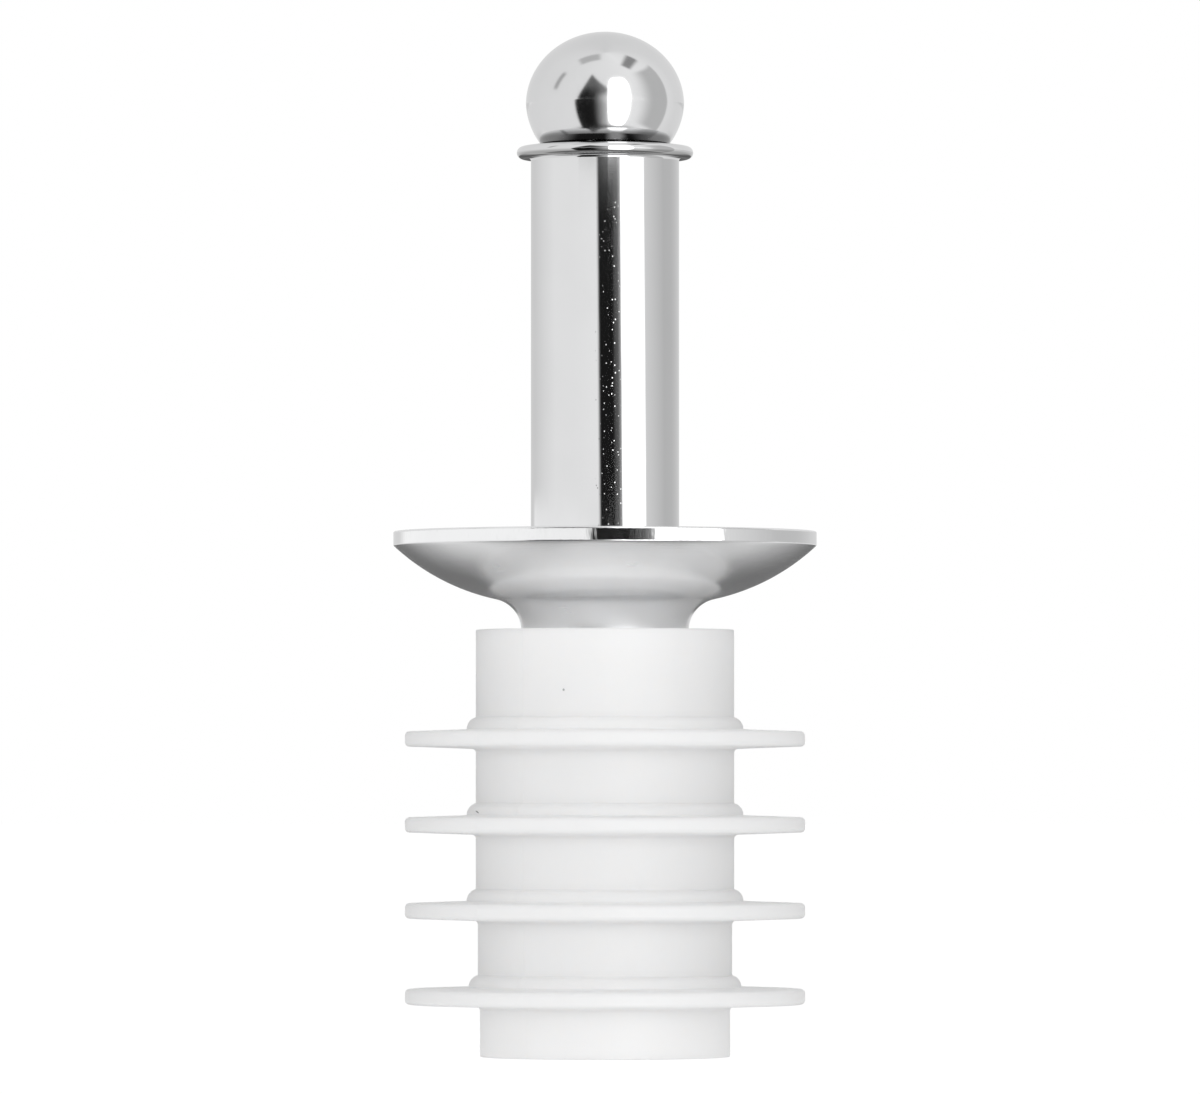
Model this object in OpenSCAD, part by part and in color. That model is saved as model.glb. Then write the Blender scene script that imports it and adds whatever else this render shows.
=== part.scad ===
// Self-closing liquor pourer. A ball valve closes the lipped mouth of a chromed tube by its own weight.
// A spun saucer round the tube catches drips, and a finned soft stopper plugs the bottle.
// The origin is the middle of the stopper's foot, and +Z runs up the tube. Sizes are in millimetres.

/* [Stopper] */
// Height of the lowest fin's middle above the foot
foot_len = 3.6; // [2.5:0.1:6]
// Number of sealing fins
fin_count = 4; // [2:1:6]
// Distance from one fin to the next
fin_pitch = 5.15; // [3.5:0.05:8]
// Height of the stopper's top above the uppermost fin's middle
shoulder_len = 6.55; // [4:0.05:12]
// Diameter of the stopper at its foot
foot_d = 15; // [12:0.1:18]
// Diameter of the stopper's upper body
stopper_d = 15.5; // [12:0.1:18]
// Number of fins over which the foot widens to the upper body
taper_fins = 2; // [1:1:4]
// Diameter over the fins
fin_d = 24; // [20:0.1:30]
// Thickness of a fin at its root
fin_root_t = 1.2; // [0.9:0.05:2]
// Thickness of a fin at its rim
fin_tip_t = 0.9; // [0.5:0.05:1.2]
// Rounding of a fin's rim
fin_edge_r = 0.25; // [0.05:0.05:0.4]
// How far the bead over each fin stands out of the body
bead_out = 0.55; // [0.2:0.05:1]
// Height of that bead
bead_h = 0.72; // [0.3:0.02:1.2]
// Rounding of the stopper's upper and lower outer edges
stopper_edge_r = 0.1; // [0.05:0.05:0.5]
// Length of the inlet below the tube
inlet_len = 4; // [2:0.1:8]
// Width of the ledge that the tube's lower end stands on
ledge_w = 0.3; // [0.1:0.05:0.45]

/* [Pour tube] */
// Outer diameter of the tube
tube_d = 8.9; // [7:0.1:11]
// Wall of the tube
tube_wall = 0.5; // [0.3:0.05:0.8]
// Height of the tube's mouth above the stopper
tube_rise = 29.1; // [23:0.1:45]
// How far the rolled lip stands out of the tube
lip_out = 0.85; // [0.7:0.05:1.5]
// Radius of the lip's rounded edge
lip_edge_r = 0.37; // [0.2:0.01:0.45]
// Depth of the lip's edge below the mouth
lip_drop = 0.58; // [0.5:0.02:1]
// Fillet between the lip and the tube
lip_fillet_r = 0.2; // [0.1:0.05:0.8]
// Height of the rolled grip bead that locks the tube in the stopper, above the tube's lower end
grip_up = 11; // [5:0.5:15]
// How far the grip bead stands out of the tube
grip_out = 0.35; // [0.2:0.05:0.6]
// Length of the grip bead along the tube
grip_len = 1.8; // [1.4:0.1:3]

/* [Drip saucer] */
// Diameter of the saucer
saucer_d = 25.4; // [21:0.1:32]
// Thickness of the saucer's sheet
saucer_wall = 0.55; // [0.4:0.05:0.8]
// Height of the saucer's rim above the stopper
saucer_rise = 5.9; // [4.5:0.1:8]
// Height of the upright band at the rim
rim_h = 0.85; // [0.5:0.05:1.5]
// Radius of the bowl's arc in section
bowl_r = 13; // [11:0.5:30]
// Radius of the hollow curve between the neck and the bowl
neck_curve_r = 1.93; // [1.2:0.01:2.6]
// Depth below the stopper's top where the neck's hollow curve would stand upright
neck_flare = 0.05; // [0.05:0.05:0.6]
// Rounding of the rim's upper edges
rim_edge_r = 0.1; // [0.05:0.05:0.3]

/* [Ball valve] */
// How far the ball's girth stands out over the mouth, on each side
ball_overlap = 0.8; // [0.4:0.01:1.5]
// Height of the ball, a little under its width
ball_h = 8.72; // [7:0.02:12]
// How far the ball lifts when the bottle is tipped
lift = 5; // [3:0.1:7]
// Diameter of the stem
stem_d = 2; // [1.5:0.1:2.5]
// Length of the stem inside the ball
stem_grip = 4; // [2:0.1:6]
// Length of the stem below its clip
stem_tail = 0.6; // [0.3:0.1:1.5]
// Depth of the stem's clip groove
groove_depth = 0.25; // [0.1:0.05:0.4]
// Bevel on both ends of the stem
stem_bevel = 0.2; // [0.05:0.05:0.4]

/* [Guide and stop] */
// Depth of the guide's top below the mouth
guide_drop = 6; // [4:0.1:8]
// Length of the guide's hub
hub_len = 3.2; // [2:0.1:5]
// Wall of the guide's hub
hub_wall = 0.75; // [0.4:0.05:1.2]
// Height of the guide's ring and arms
ring_h = 1.6; // [0.8:0.1:3]
// Wall of the guide's ring
ring_wall = 0.45; // [0.3:0.05:0.8]
// Number of the guide's arms
arm_count = 3; // [2:1:5]
// Thickness of an arm
arm_t = 0.7; // [0.4:0.05:1]
// Outer diameter of the stop washer
washer_d = 5.2; // [4:0.1:6]
// Thickness of the stop washer
washer_t = 0.8; // [0.4:0.1:1.5]
// Outer diameter of the stem clip
clip_d = 4; // [3.4:0.1:5]
// Thickness of the stem clip
clip_t = 0.4; // [0.3:0.05:0.8]
// Width of the clip's band
clip_band = 0.55; // [0.4:0.05:0.7]
// Width of each of the clip's prongs
prong_w = 0.8; // [0.5:0.05:1]

/* [Air tube] */
// Outer diameter of the air tube
air_d = 2; // [1.6:0.1:2.2]
// Wall of the air tube
air_wall = 0.3; // [0.2:0.05:0.5]
// Height of the air port above the stopper
air_rise = 4.3; // [3:0.1:5]
// Height of the air tube's lower end above the inlet
air_end = 1; // [0.5:0.1:3]

/* [Fits] */
// Gap between pieces that are pressed or clipped together, on each side
fit_gap = 0.02; // [0.01:0.01:0.04]
// Running gap round the stem, on each side
run_gap = 0.05; // [0.02:0.01:0.1]
// Gap between the valve's faces that meet, such as the ball and the mouth
meet_gap = 0.05; // [0.02:0.01:0.1]
// Gap that solder fills round the air tube, on each side
solder_gap = 0.05; // [0.03:0.01:0.1]

/* [Hidden] */
$fn = 96;
// Straight steps along a small rounding, a bowl's arc and half of the ball's outline
edge_steps = 6;
bowl_steps = 24;
ball_steps = 48;

// Stopper
stopper_h = foot_len + (fin_count - 1) * fin_pitch + shoulder_len;
fin_r = fin_d / 2;
fin_round = min(fin_edge_r, 0.4 * fin_tip_t);
bead_r = (bead_out * bead_out + bead_h * bead_h) / (2 * bead_out);

// Tube
tube_r = tube_d / 2;
bore_r = tube_r - tube_wall;
seat_r = tube_r + fit_gap;
inlet_r = tube_r - ledge_w;
mouth_z = stopper_h + tube_rise;
grip_z = inlet_len + grip_up;
grip_r = (pow(grip_len / 2, 2) + pow(grip_out, 2)) / (2 * grip_out);
grip_mid = [tube_r + grip_out - grip_r, grip_z];

// Lip: its top curve leaves the mouth level and runs into the rounded edge, and a fillet runs back to the tube
lip_mid = [tube_r + lip_out - lip_edge_r, mouth_z - lip_drop];
lip_reach = lip_mid.x - bore_r;
lip_top_r = (pow(lip_reach, 2) + pow(lip_drop, 2) - pow(lip_edge_r, 2)) / (2 * (lip_drop - lip_edge_r));
lip_top_mid = [bore_r, mouth_z - lip_top_r];
lip_turn = atan2(lip_mid.y - lip_top_mid.y, lip_reach);
fillet_x = tube_r + lip_fillet_r;
fillet_dz = sqrt(max(0, pow(lip_fillet_r + lip_edge_r, 2) - pow(lip_mid.x - fillet_x, 2)));
fillet_mid = [fillet_x, lip_mid.y - fillet_dz];
fillet_turn = atan2(fillet_dz, lip_mid.x - fillet_x);

// Saucer: the bowl's arc passes through the rim's foot and runs into the neck's hollow curve
saucer_r = saucer_d / 2;
rim_z = stopper_h + saucer_rise;
rim_foot = [saucer_r, rim_z - rim_h];
rim_round = min(rim_edge_r, 0.4 * saucer_wall);
neck_mid = [seat_r + saucer_wall + neck_curve_r, stopper_h - neck_flare];
bowl_mid = upper_meeting(rim_foot, bowl_r, neck_mid, bowl_r + neck_curve_r);
neck_turn = atan2(bowl_mid.y - neck_mid.y, bowl_mid.x - neck_mid.x);
rim_turn = atan2(rim_foot.y - bowl_mid.y, rim_foot.x - bowl_mid.x);

// Valve, from the ball on the mouth down to the stem's end
ball_r = bore_r + ball_overlap;
ball_mid_z = mouth_z + meet_gap + ball_h / 2 * sqrt(1 - pow(bore_r / ball_r, 2));
stem_r = stem_d / 2;
stem_hole_r = stem_r + fit_gap;
stem_top = ball_mid_z - ball_h / 2 + stem_grip;
guide_top = mouth_z - guide_drop;
hub_r = stem_r + run_gap + hub_wall;
hub_foot = guide_top - hub_len;
washer_z = hub_foot - meet_gap - lift - washer_t;
clip_z = washer_z - meet_gap - clip_t;
groove_r = stem_r - groove_depth;
stem_foot = clip_z - meet_gap - stem_tail;

// Air tube: its leg lies along the bore's wall and turns out through the port
air_r = air_d / 2;
air_z = stopper_h + air_rise;
air_foot = inlet_len + air_end;
air_leg_y = bore_r - solder_gap - air_r;
air_bend_r = air_r + 2 * solder_gap;
air_port_r = air_r + solder_gap;

function at(r, a) = r * [cos(a), sin(a)];
function arc(mid, r, a0, a1, steps) = [for (i = [0:steps]) mid + at(r, a0 + (a1 - a0) * i / steps)];
// The same arc without its first point, where it runs on from another
function arc_on(mid, r, a0, a1, steps) = [for (i = [1:steps]) mid + at(r, a0 + (a1 - a0) * i / steps)];

// The upper of the two points that lie ra from a and rb from b
function upper_meeting(a, ra, b, rb) =
    let (
        gap = norm(b - a),
        along = (ra * ra - rb * rb + gap * gap) / (2 * gap),
        aside = sqrt(ra * ra - along * along),
        way = (b - a) / gap
    )
    a + along * way + aside * [way.y, -way.x];

// Body radius of a stopper section, counted up from the foot
function body_r(i) = (foot_d + (stopper_d - foot_d) * min(i / taper_fins, 1)) / 2;
function fin_z(i) = foot_len + i * fin_pitch;
// Height of a fin's upper face over its middle, at a radius
function fin_rise(r, root_r) = (fin_tip_t + (fin_root_t - fin_tip_t) * (fin_r - r) / (fin_r - root_r)) / 2;

// One fin with the bead over it, from its lower root to the bead's top
function fin_outline(i) =
    let (
        z = fin_z(i),
        upper_r = body_r(i + 1),
        corner = [fin_r - fin_round, fin_tip_t / 2 - fin_round],
        bead_z = z + fin_rise(upper_r + bead_out, upper_r),
        bead_mid = [upper_r + bead_out - bead_r, bead_z]
    )
    concat(
        [[body_r(i), z - fin_root_t / 2]],
        arc([corner.x, z - corner.y], fin_round, -90, 0, edge_steps),
        arc([corner.x, z + corner.y], fin_round, 0, 90, edge_steps),
        arc(bead_mid, bead_r, 0, atan2(bead_h, bead_r - bead_out), edge_steps)
    );

// The rolled grip bead's curve, moved out by a distance and cut off at a radius, going up
function grip_curve(out, cut_r) =
    let (half = acos((cut_r - grip_mid.x) / (grip_r + out)))
    arc(grip_mid, grip_r + out, -half, half, edge_steps);
function reversed(points) = [for (i = [len(points) - 1:-1:0]) points[i]];

module bottle_stopper() {
    top_r = body_r(fin_count) - stopper_edge_r;
    outside = concat(
        arc([body_r(0) - stopper_edge_r, stopper_edge_r], stopper_edge_r, -90, 0, edge_steps),
        [for (i = [0:fin_count - 1]) each fin_outline(i)],
        arc([top_r, stopper_h - stopper_edge_r], stopper_edge_r, 0, 90, edge_steps)
    );
    inside = concat(
        [[seat_r, stopper_h]],
        reversed(grip_curve(fit_gap, seat_r)),
        [[seat_r, inlet_len], [inlet_r, inlet_len], [inlet_r, 0]]
    );
    color("white") rotate_extrude() polygon(concat(outside, inside));
}

module pour_tube() {
    outside = concat(
        [[tube_r, inlet_len]],
        grip_curve(0, tube_r),
        arc(fillet_mid, lip_fillet_r, 180, fillet_turn, edge_steps),
        arc_on(lip_mid, lip_edge_r, fillet_turn - 180, lip_turn, 2 * edge_steps),
        arc_on(lip_top_mid, lip_top_r, lip_turn, 90, edge_steps)
    );
    inside = concat(reversed(grip_curve(-tube_wall, bore_r)), [[bore_r, inlet_len]]);
    color("silver") difference() {
        rotate_extrude() polygon(concat(outside, inside));
        translate([0, 0, air_z]) rotate([-90, 0, 0]) cylinder(r = air_port_r, h = tube_d);
    }
}

module drip_saucer() {
    inner_r = saucer_r - saucer_wall;
    inner_turn = -acos((inner_r - bowl_mid.x) / (bowl_r - saucer_wall));
    foot_turn = 180 - asin(neck_flare / neck_curve_r);
    inner_foot_turn = 180 - asin(neck_flare / (neck_curve_r + saucer_wall));
    outside = concat(
        arc(neck_mid, neck_curve_r, foot_turn, neck_turn, bowl_steps),
        arc_on(bowl_mid, bowl_r, neck_turn - 180, rim_turn, bowl_steps),
        arc([saucer_r - rim_round, rim_z - rim_round], rim_round, 0, 90, edge_steps)
    );
    inside = concat(
        arc([inner_r + rim_round, rim_z - rim_round], rim_round, 90, 180, edge_steps),
        arc(bowl_mid, bowl_r - saucer_wall, inner_turn, neck_turn - 180, bowl_steps),
        arc_on(neck_mid, neck_curve_r + saucer_wall, neck_turn, inner_foot_turn, bowl_steps)
    );
    color("gainsboro") rotate_extrude() polygon(concat(outside, inside));
}

module stem_guide() {
    outer_r = bore_r - fit_gap;
    color("lightsteelblue") difference() {
        union() {
            translate([0, 0, guide_top - ring_h]) linear_extrude(ring_h) {
                difference() {
                    circle(r = outer_r);
                    circle(r = outer_r - ring_wall);
                }
                for (i = [0:arm_count - 1]) {
                    rotate(i * 360 / arm_count - 90)
                        translate([0, -arm_t / 2]) square([outer_r - ring_wall / 2, arm_t]);
                }
            }
            translate([0, 0, hub_foot]) cylinder(r = hub_r, h = hub_len);
        }
        translate([0, 0, hub_foot - 1]) cylinder(r = stem_r + run_gap, h = hub_len + 2);
    }
}

// The air tube's run at a radius: leg, quarter bend and stub through the port, longer by an amount at both ends
module air_run(r, longer) {
    bend_z = air_z - air_bend_r;
    stub_y = air_leg_y + air_bend_r;
    translate([0, air_leg_y, air_foot - longer]) cylinder(r = r, h = bend_z - air_foot + longer);
    translate([0, stub_y, bend_z]) rotate([90, 0, -90])
        rotate_extrude(angle = 90) translate([air_bend_r, 0]) circle(r = r);
    translate([0, stub_y, air_z]) rotate([-90, 0, 0]) cylinder(r = r, h = tube_r - stub_y + longer);
}

module air_tube() {
    color("lightgray") intersection() {
        difference() {
            air_run(air_r, 0);
            air_run(air_r - air_wall, 1);
        }
        cylinder(r = tube_r, h = mouth_z);
    }
}

module stop_washer() {
    color("darkgray") translate([0, 0, washer_z]) difference() {
        cylinder(d = washer_d, h = washer_t);
        translate([0, 0, -1]) cylinder(r = stem_r + run_gap, h = washer_t + 2);
    }
}

module valve_ball() {
    half_h = ball_h / 2;
    hole_turn = -acos(stem_hole_r / ball_r);
    hole_top = stem_top + meet_gap;
    skin = [
        for (i = [0:ball_steps])
            let (a = hole_turn + (90 - hole_turn) * i / ball_steps)
            [ball_r * cos(a), ball_mid_z + half_h * sin(a)]
    ];
    color("silver") rotate_extrude() polygon(concat(skin, [[0, hole_top], [stem_hole_r, hole_top]]));
}

module valve_stem() {
    groove_foot = clip_z - meet_gap;
    groove_top = clip_z + clip_t + meet_gap;
    bevel_r = stem_r - stem_bevel;
    color("slategray") rotate_extrude() polygon([
        [0, stem_foot], [bevel_r, stem_foot], [stem_r, stem_foot + stem_bevel],
        [stem_r, groove_foot], [groove_r, groove_foot], [groove_r, groove_top], [stem_r, groove_top],
        [stem_r, stem_top - stem_bevel], [bevel_r, stem_top], [0, stem_top]
    ]);
}

module stem_clip() {
    clip_r = clip_d / 2;
    band_r = clip_r - clip_band;
    prong_r = groove_r + fit_gap;
    mouth_w = 2 * prong_r;
    color("dimgray") translate([0, 0, clip_z]) linear_extrude(clip_t) {
        difference() {
            circle(r = clip_r);
            circle(r = band_r);
            translate([-mouth_w / 2, -clip_d]) square([mouth_w, clip_d]);
        }
        for (a = [0, 90, 180]) {
            rotate(a) translate([prong_r, -prong_w / 2]) square([band_r + clip_band / 2 - prong_r, prong_w]);
        }
    }
}

bottle_stopper();
pour_tube();
drip_saucer();
stem_guide();
air_tube();
stop_washer();
valve_ball();
valve_stem();
stem_clip();
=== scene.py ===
"""Looks of a self-closing liquor pourer: a ball valve, a chromed tube with a rolled lip, a spun drip saucer
and a soft finned stopper. Every piece is turned, swept or eased here and stands in for its solid."""
import math

import bmesh
import bpy
from mathutils import Matrix, Vector


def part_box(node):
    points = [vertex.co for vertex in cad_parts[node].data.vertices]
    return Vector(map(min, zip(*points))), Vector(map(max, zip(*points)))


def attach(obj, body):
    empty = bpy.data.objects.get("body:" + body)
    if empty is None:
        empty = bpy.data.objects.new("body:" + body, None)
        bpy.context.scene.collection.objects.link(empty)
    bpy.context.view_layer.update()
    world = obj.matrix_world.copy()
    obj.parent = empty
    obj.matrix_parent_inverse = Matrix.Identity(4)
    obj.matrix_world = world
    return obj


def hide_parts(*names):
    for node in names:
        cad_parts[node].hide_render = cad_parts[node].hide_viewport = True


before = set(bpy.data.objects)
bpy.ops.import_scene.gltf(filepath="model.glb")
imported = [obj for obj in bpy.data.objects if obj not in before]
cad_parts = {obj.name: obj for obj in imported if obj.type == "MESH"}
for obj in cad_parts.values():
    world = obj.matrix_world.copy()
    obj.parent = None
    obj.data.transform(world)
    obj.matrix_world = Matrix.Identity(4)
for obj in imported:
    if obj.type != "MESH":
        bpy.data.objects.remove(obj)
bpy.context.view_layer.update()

MM = 0.001
UM = 0.001 * MM
DEGREES = 180 / math.pi

# The photograph's frame: a long lens on the height of the middle fins, looking along +Y
PHOTO_W = 1200
PHOTO_H = 1094
PIXEL = 0.06 * MM
AXIS_COLUMN = 605
FOOT_ROW = 1056.5
EYE_ROW = 790
CAMERA_AWAY = 600 * MM
SENSOR_W = 36

# Fits
FIT_GAP = 0.02 * MM
RUN_GAP = 0.05 * MM
GROOVE_GAP = 0.05 * MM

# Stopper
STOPPER_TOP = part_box("bottle_stopper")[1].z
FIN_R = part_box("bottle_stopper")[1].x
FOOT_R = 7.5 * MM
BODY_R = 7.75 * MM
TAPER_FINS = 2
FIN_COUNT = 4
FIN_PITCH = 5.15 * MM
LOWEST_FIN = 3.6 * MM
FIN_ROOT_T = 1.2 * MM
FIN_TIP_T = 0.9 * MM
FIN_EDGE_R = 0.25 * MM
FIN_ROOT_R = 0.22 * MM
BEAD_OUT = 0.55 * MM
BEAD_H = 0.72 * MM
STOPPER_EDGE_R = 0.1 * MM
LEDGE_W = 0.3 * MM

# Tube
TUBE_WALL = 0.5 * MM
BORE_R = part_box("stem_guide")[1].x + FIT_GAP
TUBE_R = BORE_R + TUBE_WALL
SEAT_R = TUBE_R + FIT_GAP
INLET_R = TUBE_R - LEDGE_W
TUBE_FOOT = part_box("pour_tube")[0].z
MOUTH_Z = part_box("pour_tube")[1].z
LIP_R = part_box("pour_tube")[1].x
LIP_EDGE_R = 0.37 * MM
LIP_DROP = 0.45 * MM
LIP_FILLET_R = 0.2 * MM
LIP_MID_Z = MOUTH_Z - LIP_DROP
GRIP_UP = 11 * MM
GRIP_Z = TUBE_FOOT + GRIP_UP
GRIP_OUT = 0.35 * MM
GRIP_LEN = 1.8 * MM
GRIP_R = ((GRIP_LEN / 2) ** 2 + GRIP_OUT ** 2) / (2 * GRIP_OUT)
GRIP_MID_R = TUBE_R + GRIP_OUT - GRIP_R

# Saucer
SAUCER_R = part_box("drip_saucer")[1].x
RIM_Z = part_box("drip_saucer")[1].z
SAUCER_WALL = 0.55 * MM
RIM_H = 0.85 * MM
RIM_FOOT_Z = RIM_Z - RIM_H
RIM_EDGE_R = 0.1 * MM
RIM_FOOT_R = 0.03 * MM
BOWL_R = 13 * MM
NECK_CURVE_R = 1.93 * MM
NECK_FLARE = 0.05 * MM

# Ball, stem, washer and clip
STEM_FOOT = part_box("valve_stem")[0].z
STEM_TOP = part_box("valve_stem")[1].z
STEM_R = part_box("valve_stem")[1].x
STEM_HOLE_R = STEM_R + FIT_GAP
STEM_BEVEL = 0.2 * MM
GROOVE_DEPTH = 0.25 * MM
GROOVE_R = STEM_R - GROOVE_DEPTH
BALL_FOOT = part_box("valve_ball")[0].z
BALL_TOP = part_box("valve_ball")[1].z
BALL_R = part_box("valve_ball")[1].x
BALL_HALF_H = (BALL_TOP - BALL_FOOT) / (1 + math.sqrt(1 - (STEM_HOLE_R / BALL_R) ** 2))
BALL_MID_Z = BALL_TOP - BALL_HALF_H
BALL_SEAM = math.radians(2.8)
CLIP_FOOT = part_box("stem_clip")[0].z
CLIP_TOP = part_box("stem_clip")[1].z
WASHER_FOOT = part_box("stop_washer")[0].z
WASHER_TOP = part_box("stop_washer")[1].z
WASHER_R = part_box("stop_washer")[1].x
WASHER_BORE_R = STEM_R + RUN_GAP
SMALL_EDGE = 0.06 * MM

# Air tube
AIR_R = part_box("air_tube")[1].x
AIR_WALL = 0.3 * MM
AIR_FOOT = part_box("air_tube")[0].z
AIR_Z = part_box("air_tube")[1].z - AIR_R
AIR_LEG_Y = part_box("air_tube")[0].y + AIR_R
AIR_BEND_INNER_R = 0.1 * MM
AIR_BEND_R = AIR_R + AIR_BEND_INNER_R
AIR_PORT_R = AIR_R + FIT_GAP
AIR_PORT_FRAME = 2 * AIR_R

# Plated tube: tones, roughness, sizes across the surface and heights of relief
CHROME_TONE = (0.755, 0.757, 0.762, 1)
CHROME_HAZE_TONE = (0.735, 0.737, 0.742, 1)
HAZE_SPAN = (0.35, 0.75)
PLATE_HAZE_SIZE = 5 * MM
PLATE_ROUGH = 0.025
PLATE_HAZE_ROUGH = 0.015
DRAW_STRETCH = (1, 1, 0.06)
DRAW_LINE_W = 0.16 * MM
DRAW_LINE_H = 0.6 * UM
PIMPLE_PITCH = 0.24 * MM
PIMPLE_EDGE = (0.17, 0.03)
PIMPLE_H = 4 * UM
PIMPLE_PATCH = 0.9 * MM
PIMPLE_PATCH_SPAN = (0.42, 0.58)
PITTED_FROM = -0.4 * MM
PITTED_TO = 0.8 * MM
PITTED_FADE = 0.3 * MM
PITTED_TOP = MOUTH_Z - 2 * MM
PITTED_FULL = PITTED_TOP - 6 * MM
TUBE_FRONT = (0, -TUBE_R / 2)

# Lip's top seat painted dark as shade, painted lighter again in front and towards the sides as a painted
# highlight, and painted shade on the lip's underside
SEAT_SHADE_TONE = 0.012
SHADE_AND_GLINT_TONE = 0.3
DULL_ROUGH = 0.1
SEAT_DROP = 0.12 * MM
SEAT_W = 0.55 * MM
SEAT_FADE = 0.1 * MM
DULL_W = 1.1 * MM
GLINT_FROM = 0.25 * MM
GLINT_TO = 1.25 * MM
GLINT_FADE = 0.35 * MM
GLINT_ENDS = (1.7 * MM, 3.5 * MM)
GLINT_END_SHARE = 0.85
UNDER_SHADE_TONE = 0.42
UNDER_Z = (LIP_MID_Z + 0.04 * MM, LIP_MID_Z - 0.16 * MM)
UNDER_R = (TUBE_R + 0.03 * MM, TUBE_R + 0.15 * MM)

# Polished ball
BALL_HAZE_SIZE = 3 * MM
BALL_ROUGH = 0.09
BALL_HAZE_ROUGH = 0.03
POLISH_STRETCH = (0.03, 0.03, 1)
POLISH_LINE_W = 0.2 * MM
POLISH_LINE_H = 0.4 * UM

# Spun saucer
NOISE_MEAN = 0.5
SAUCER_TONE = (0.86, 0.862, 0.867, 1)
SAUCER_HAZE_TONE = (0.83, 0.832, 0.837, 1)
SAUCER_HAZE_SPAN = (0.3, 0.75)
SAUCER_HAZE_SIZE = 4 * MM
SATIN_ROUGH = 0.19
SATIN_HAZE_ROUGH = 0.06
SATIN_RING_ROUGH = 0.05
SPUN_RING_W = 0.14 * MM
SPUN_RING_H = 2.2 * UM
SPUN_SWELL_SIZE = 3.5 * MM
SPUN_SWELL_H = 8 * UM
SPUN_GRAIN_SIZE = 0.12 * MM
SPUN_GRAIN_H = 1.2 * UM
RIM_ROUGH = 0.03
RIM_FADE = 0.03 * MM
FLUTE_STRETCH = (1, 1, 0.12)
FLUTE_W = 0.2 * MM
FLUTE_H = 5 * UM

# Stopper plastic
PLASTIC_TONE = (0.938, 0.938, 0.941, 1)
PLASTIC_PALE_TONE = (0.95, 0.95, 0.95, 1)
PLASTIC_ROUGH = 0.42
PLASTIC_GRAIN_ROUGH = 0.1
PLASTIC_GLOSS = 0.4
PLASTIC_SPREAD = (1.0, 0.97, 0.94)
PLASTIC_DEPTH = 1.5 * MM
PATCH_SPAN = (0.3, 0.7)
FLOW_STRETCH = (1, 1, 0.25)
FLOW_SIZE = 1.6 * MM
MOULD_GRAIN_SIZE = 0.2 * MM
MOULD_GRAIN_H = 2.5 * UM
MOULD_SWELL_SIZE = 2.2 * MM
MOULD_SWELL_H = 12 * UM
PARTING_TURN = math.radians(-39)
PARTING_HALF_W = 0.09 * MM
PARTING_H = 15 * UM
FLAW_DEPTH = 20 * UM
BUBBLE_PLACE = (-2.46 * MM, -7.35 * MM, 21.93 * MM)
BUBBLE_R = 0.1 * MM
BUBBLE_CORE_R = 0.4 * BUBBLE_R
BUBBLE_SHADE_TONE = 0.45
NICK_PLACE = (-7.58 * MM, -3.1 * MM, 14.65 * MM)
NICK_TILT = math.radians(35)
NICK_HALF_SIZE = (0.28 * MM, 0.5 * MM, 0.05 * MM)
NICK_EDGE = (1, 0.5)
NICK_SHADE_TONE = 0.2

# Steel of the small pieces, whose lines are noise stretched along an axis by a scale under 1
STEEL_TONE = (0.62, 0.62, 0.63, 1)
WASHER_TONE = (0.6, 0.6, 0.61, 1)
GUIDE_TONE = (0.58, 0.58, 0.6, 1)
CLIP_TONE = (0.3, 0.3, 0.32, 1)
DARK_SHARE = 0.88
STEEL_PATCH_SIZE = 1.5 * MM
STEEL_ROUGH = 0.26
STEEL_LINE_ROUGH = 0.14
STEEL_LINE_W = 0.05 * MM
STEEL_LINE_H = 1.5 * UM
ALONG_X = (0.1, 1, 1)
ALONG_Y = (1, 0.05, 1)
ALONG_Z = (1, 1, 0.02)
UNSTRETCHED = (1, 1, 1)

# Studio: levels of light, where 1 is white, and angles in degrees, right and up from the camera's side.
# A pair is where something starts and is full. A third number is how softly it ends on both sides.
EVEN_LIGHT = 0.36
FRONT_LIGHT = 0.38
FRONT_TURN = (150, 30)
THROWN_LIGHT = 0.08
THROWN_FRONT = 2.0
THROWN_TURN = (120, 5)
FLOOR_SIZE = 4
FLOOR_GLOW = 0.76
FLOOR_SHOWN = 0.9
FLOOR_TONE = 0.22

# Lamps: name, width in metres, power in watts and place in metres
LAMPS = (
    ("front_lamp", 0.2, 1.4, (0, -0.75, 0.06)),
    ("top_lamp", 0.4, 0.2, (0.1, -0.05, 0.7)),
)

# Tent: walls, the table's far side, the deep floor in front and a grey panel on the right
WALL_STOPS = (
    (-180, 0.78), (-140, 0.82), (-110, 0.86), (-60, 0.9), (0, 0.95), (46, 1.0), (90, 0.95), (125, 0.84),
    (150, 0.82), (180, 0.78),
)
TABLE_STOPS = (
    (-180, 0.18), (-165, 0.15), (-158, 0.22), (-150, 0.42), (-140, 0.72), (-128, 0.95), (128, 0.86),
    (140, 0.64), (150, 0.38), (158, 0.23), (165, 0.15), (180, 0.18),
)
TABLE_STEEP = (20, 36)
TABLE_TURN = (116, 130)
DEEP_TONE = 0.28
DEEP_RISE = (-40, -48)
DEEP_TURN = (130, 110)
PANEL_TONE = 0.57
PANEL_LEFT = (46, 78)
PANEL_RIGHT = (104.5, 102.5)
PANEL_RISE = (-36, 46, 3)

# Lengths of the tent's hoop: angles round it from and to, its front and rear in depth, and tone
HOOPS = (
    (95, 117, -0.25, -0.03, 0.55),
    (138, 161, -0.205, -0.085, 0.44),
    (58, 70, -0.36, 0.05, 0.3),
)
HOOP_SOFT = 3
HOOP_DEPTH_SOFT = 0.035

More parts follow.
